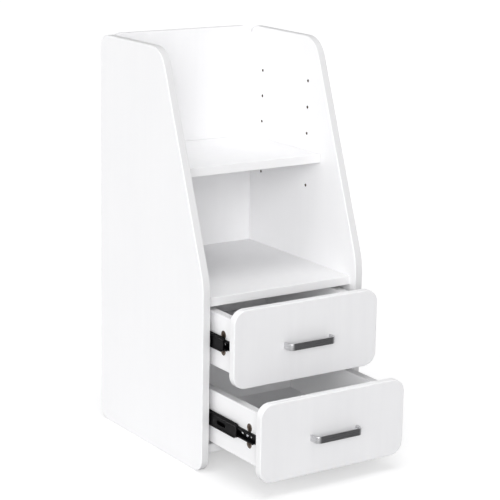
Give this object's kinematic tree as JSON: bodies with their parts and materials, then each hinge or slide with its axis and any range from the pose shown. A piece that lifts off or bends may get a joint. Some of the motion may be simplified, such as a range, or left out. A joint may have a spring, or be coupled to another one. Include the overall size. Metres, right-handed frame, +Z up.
{
  "type": "desk-side cabinet",
  "caption": "Tall side cabinet with sloping side boards, an open top compartment, an adjustable shelf and sliding drawers with bar handles, shown part open.",
  "frame": {"origin": "middle of the underside of the box around the cabinet with its drawers part open as stored; the floor is z = 0", "axes": "+X to the right seen from the front, +Y to the rear (the drawers open towards -Y), +Z up"},
  "size_m": [0.348, 0.5486, 0.748],
  "materials": {
    "white_board": "particle board faced with satin white melamine",
    "white_hardboard": "thin hardboard, painted white on top",
    "handle_metal": "satin grey bar",
    "black_rail": "black electrocoated rolled steel",
    "zinc_steel": "bright zinc plating",
    "cam_zinc": "dull zinc casting",
    "cage_steel": "pressed steel strip",
    "ball_steel": "polished bearing steel",
    "beech": "raw fluted beech"
  },
  "bodies": {
    "case": {"side_left": "white_board", "side_right": "white_board", "back_panel": "white_board", "fixed_shelf": "white_board", "bottom_panel": "white_board", "shelf_pins": "zinc_steel", "case_cam_locks": "cam_zinc", "case_cam_bolts": "zinc_steel", "case_dowels": "beech", "back_screws": "zinc_steel", "upper_case_rail_left": "black_rail", "upper_case_rail_right": "black_rail", "lower_case_rail_left": "black_rail", "lower_case_rail_right": "black_rail", "case_rail_screws": "zinc_steel"},
    "shelf": {"adjustable_shelf": "white_board"},
    "upper_drawer": {"upper_front": "white_board", "upper_box_left": "white_board", "upper_box_right": "white_board", "upper_box_back": "white_board", "upper_box_base": "white_hardboard", "upper_handle": "handle_metal", "upper_handle_screws": "zinc_steel", "upper_cam_locks": "cam_zinc", "upper_cam_bolts": "zinc_steel", "upper_dowels": "beech", "upper_box_screws": "zinc_steel", "upper_drawer_rail_left": "black_rail", "upper_drawer_rail_right": "black_rail", "upper_rail_screws": "zinc_steel"},
    "upper_mid_rails": {"upper_mid_rail_left": "black_rail", "upper_mid_rail_right": "black_rail"},
    "upper_outer_ball_cages": {"upper_outer_cages": "cage_steel", "upper_outer_balls": "ball_steel"},
    "upper_inner_ball_cages": {"upper_inner_cages": "cage_steel", "upper_inner_balls": "ball_steel"},
    "lower_drawer": {"lower_front": "white_board", "lower_box_left": "white_board", "lower_box_right": "white_board", "lower_box_back": "white_board", "lower_box_base": "white_hardboard", "lower_handle": "handle_metal", "lower_handle_screws": "zinc_steel", "lower_cam_locks": "cam_zinc", "lower_cam_bolts": "zinc_steel", "lower_dowels": "beech", "lower_box_screws": "zinc_steel", "lower_drawer_rail_left": "black_rail", "lower_drawer_rail_right": "black_rail", "lower_rail_screws": "zinc_steel"},
    "lower_mid_rails": {"lower_mid_rail_left": "black_rail", "lower_mid_rail_right": "black_rail"},
    "lower_outer_ball_cages": {"lower_outer_cages": "cage_steel", "lower_outer_balls": "ball_steel"},
    "lower_inner_ball_cages": {"lower_inner_cages": "cage_steel", "lower_inner_balls": "ball_steel"}
  },
  "joints": [
    {"name": "shelf_lift", "type": "slide", "parent": "case", "child": "shelf", "axis": [0, 0, 1], "range_m": [0, 0.2165]},
    {"name": "upper_drawer_slide", "type": "slide", "parent": "case", "child": "upper_drawer", "axis": [0, -1, 0], "range_m": [-0.0726, 0.2274]},
    {"name": "upper_mid_rails_slide", "type": "slide", "parent": "case", "child": "upper_mid_rails", "axis": [0, -1, 0], "range_m": [-0.05455, 0.17065]},
    {"name": "upper_outer_ball_cages_slide", "type": "slide", "parent": "case", "child": "upper_outer_ball_cages", "axis": [0, -1, 0], "range_m": [-0.02732, 0.08538]},
    {"name": "upper_inner_ball_cages_slide", "type": "slide", "parent": "case", "child": "upper_inner_ball_cages", "axis": [0, -1, 0], "range_m": [-0.06363, 0.19908]},
    {"name": "lower_drawer_slide", "type": "slide", "parent": "case", "child": "lower_drawer", "axis": [0, -1, 0], "range_m": [-0.1595, 0.1405]},
    {"name": "lower_mid_rails_slide", "type": "slide", "parent": "case", "child": "lower_mid_rails", "axis": [0, -1, 0], "range_m": [-0.10059, 0.08862]},
    {"name": "lower_outer_ball_cages_slide", "type": "slide", "parent": "case", "child": "lower_outer_ball_cages", "axis": [0, -1, 0], "range_m": [-0.05034, 0.04436]},
    {"name": "lower_inner_ball_cages_slide", "type": "slide", "parent": "case", "child": "lower_inner_ball_cages", "axis": [0, -1, 0], "range_m": [-0.13009, 0.11461]}
  ],
  "couplings": [
    {"joint": "upper_mid_rails_slide", "follows": "upper_drawer_slide", "ratio": 0.75},
    {"joint": "upper_outer_ball_cages_slide", "follows": "upper_drawer_slide", "ratio": 0.375},
    {"joint": "upper_inner_ball_cages_slide", "follows": "upper_drawer_slide", "ratio": 0.875},
    {"joint": "lower_mid_rails_slide", "follows": "lower_drawer_slide", "ratio": 0.63},
    {"joint": "lower_outer_ball_cages_slide", "follows": "lower_drawer_slide", "ratio": 0.315},
    {"joint": "lower_inner_ball_cages_slide", "follows": "lower_drawer_slide", "ratio": 0.815}
  ]
}
